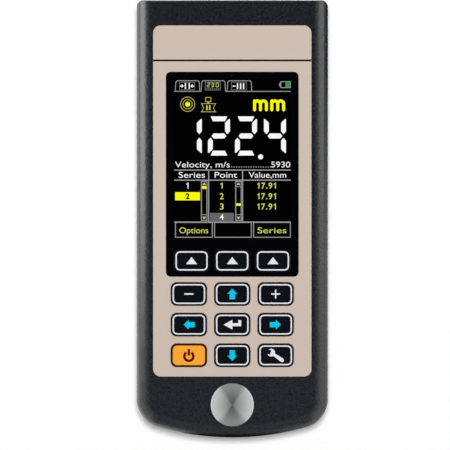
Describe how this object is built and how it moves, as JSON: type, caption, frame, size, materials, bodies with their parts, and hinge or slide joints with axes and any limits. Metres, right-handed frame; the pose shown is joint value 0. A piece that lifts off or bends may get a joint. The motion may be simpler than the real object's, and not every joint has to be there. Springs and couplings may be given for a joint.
{
  "type": "ultrasonic thickness gauge",
  "caption": "Hand-held ultrasonic thickness gauge: bow-ended moulded housing, colour display, rounded press keys, steel reference disc and probe sockets in the upper end.",
  "frame": {"origin": "on the back face, under the middle of the housing", "axes": "+X to the right seen from the face, +Y to the probe sockets, +Z out of the face"},
  "size_m": [0.071, 0.1599, 0.0243],
  "materials": {
    "shell": "moulded, fine-grained dark slate plastic",
    "end_plate": "moulded dark plastic",
    "gasket": "soft sealing rubber",
    "panel": "printed satin film, warm light beige",
    "window": "smooth black-backed clear plastic",
    "foam": "closed-cell foam",
    "display_glass": "polarised display glass",
    "display_tray": "white moulded tray",
    "board": "solder-masked laminate",
    "chip": "moulded epoxy",
    "switch": "moulded switch body",
    "battery": "shrink-wrapped cell",
    "pad": "adhesive foam pad",
    "brass": "turned brass",
    "socket_metal": "turned, nickel plated",
    "steel_fastener": "zinc-plated steel",
    "insulator": "white insulator",
    "lead_wire": "insulated lead",
    "port_steel": "pressed steel",
    "port_tongue": "moulded contact carrier",
    "disc_steel": "face-turned steel",
    "key_black": "smooth black key cap with printed ring and sign",
    "key_orange": "smooth orange key cap with printed sign",
    "plunger": "moulded switch plunger"
  },
  "bodies": {
    "housing": {"front_shell": "shell", "rear_shell": "shell", "end_plate": "end_plate", "shell_gasket": "gasket", "face_panel": "panel", "display_window": "window", "display_foam": "foam", "display_glass": "display_glass", "display_frame": "display_tray", "main_board": "board", "board_chips": "chip", "key_switches": "switch", "battery_pack": "battery", "battery_pad": "pad", "battery_contacts": "brass", "probe_socket_left": "socket_metal", "probe_socket_right": "socket_metal", "socket_nuts": "steel_fastener", "socket_insulators": "insulator", "socket_contacts": "brass", "socket_leads": "lead_wire", "usb_port": "port_steel", "usb_tongue": "port_tongue", "reference_disc": "disc_steel", "housing_screws": "steel_fastener", "screw_inserts": "brass", "board_screws": "steel_fastener"},
    "soft_key_left": {"soft_key_left": "key_black", "soft_key_left_plunger": "plunger"},
    "soft_key_middle": {"soft_key_middle": "key_black", "soft_key_middle_plunger": "plunger"},
    "soft_key_right": {"soft_key_right": "key_black", "soft_key_right_plunger": "plunger"},
    "minus_key": {"minus_key": "key_black", "minus_key_plunger": "plunger"},
    "up_key": {"up_key": "key_black", "up_key_plunger": "plunger"},
    "plus_key": {"plus_key": "key_black", "plus_key_plunger": "plunger"},
    "left_key": {"left_key": "key_black", "left_key_plunger": "plunger"},
    "enter_key": {"enter_key": "key_black", "enter_key_plunger": "plunger"},
    "right_key": {"right_key": "key_black", "right_key_plunger": "plunger"},
    "power_key": {"power_key": "key_orange", "power_key_plunger": "plunger"},
    "down_key": {"down_key": "key_black", "down_key_plunger": "plunger"},
    "setup_key": {"setup_key": "key_black", "setup_key_plunger": "plunger"}
  },
  "joints": [
    {"name": "soft_key_left_press", "type": "slide", "parent": "housing", "child": "soft_key_left", "axis": [0, 0, -1], "range_m": [0, 0.0005], "stiffness_N_per_m": 2000, "springref_m": -0.0003},
    {"name": "soft_key_middle_press", "type": "slide", "parent": "housing", "child": "soft_key_middle", "axis": [0, 0, -1], "range_m": [0, 0.0005], "stiffness_N_per_m": 2000, "springref_m": -0.0003},
    {"name": "soft_key_right_press", "type": "slide", "parent": "housing", "child": "soft_key_right", "axis": [0, 0, -1], "range_m": [0, 0.0005], "stiffness_N_per_m": 2000, "springref_m": -0.0003},
    {"name": "minus_key_press", "type": "slide", "parent": "housing", "child": "minus_key", "axis": [0, 0, -1], "range_m": [0, 0.0005], "stiffness_N_per_m": 2000, "springref_m": -0.0003},
    {"name": "up_key_press", "type": "slide", "parent": "housing", "child": "up_key", "axis": [0, 0, -1], "range_m": [0, 0.0005], "stiffness_N_per_m": 2000, "springref_m": -0.0003},
    {"name": "plus_key_press", "type": "slide", "parent": "housing", "child": "plus_key", "axis": [0, 0, -1], "range_m": [0, 0.0005], "stiffness_N_per_m": 2000, "springref_m": -0.0003},
    {"name": "left_key_press", "type": "slide", "parent": "housing", "child": "left_key", "axis": [0, 0, -1], "range_m": [0, 0.0005], "stiffness_N_per_m": 2000, "springref_m": -0.0003},
    {"name": "enter_key_press", "type": "slide", "parent": "housing", "child": "enter_key", "axis": [0, 0, -1], "range_m": [0, 0.0005], "stiffness_N_per_m": 2000, "springref_m": -0.0003},
    {"name": "right_key_press", "type": "slide", "parent": "housing", "child": "right_key", "axis": [0, 0, -1], "range_m": [0, 0.0005], "stiffness_N_per_m": 2000, "springref_m": -0.0003},
    {"name": "power_key_press", "type": "slide", "parent": "housing", "child": "power_key", "axis": [0, 0, -1], "range_m": [0, 0.0005], "stiffness_N_per_m": 2000, "springref_m": -0.0003},
    {"name": "down_key_press", "type": "slide", "parent": "housing", "child": "down_key", "axis": [0, 0, -1], "range_m": [0, 0.0005], "stiffness_N_per_m": 2000, "springref_m": -0.0003},
    {"name": "setup_key_press", "type": "slide", "parent": "housing", "child": "setup_key", "axis": [0, 0, -1], "range_m": [0, 0.0005], "stiffness_N_per_m": 2000, "springref_m": -0.0003}
  ]
}
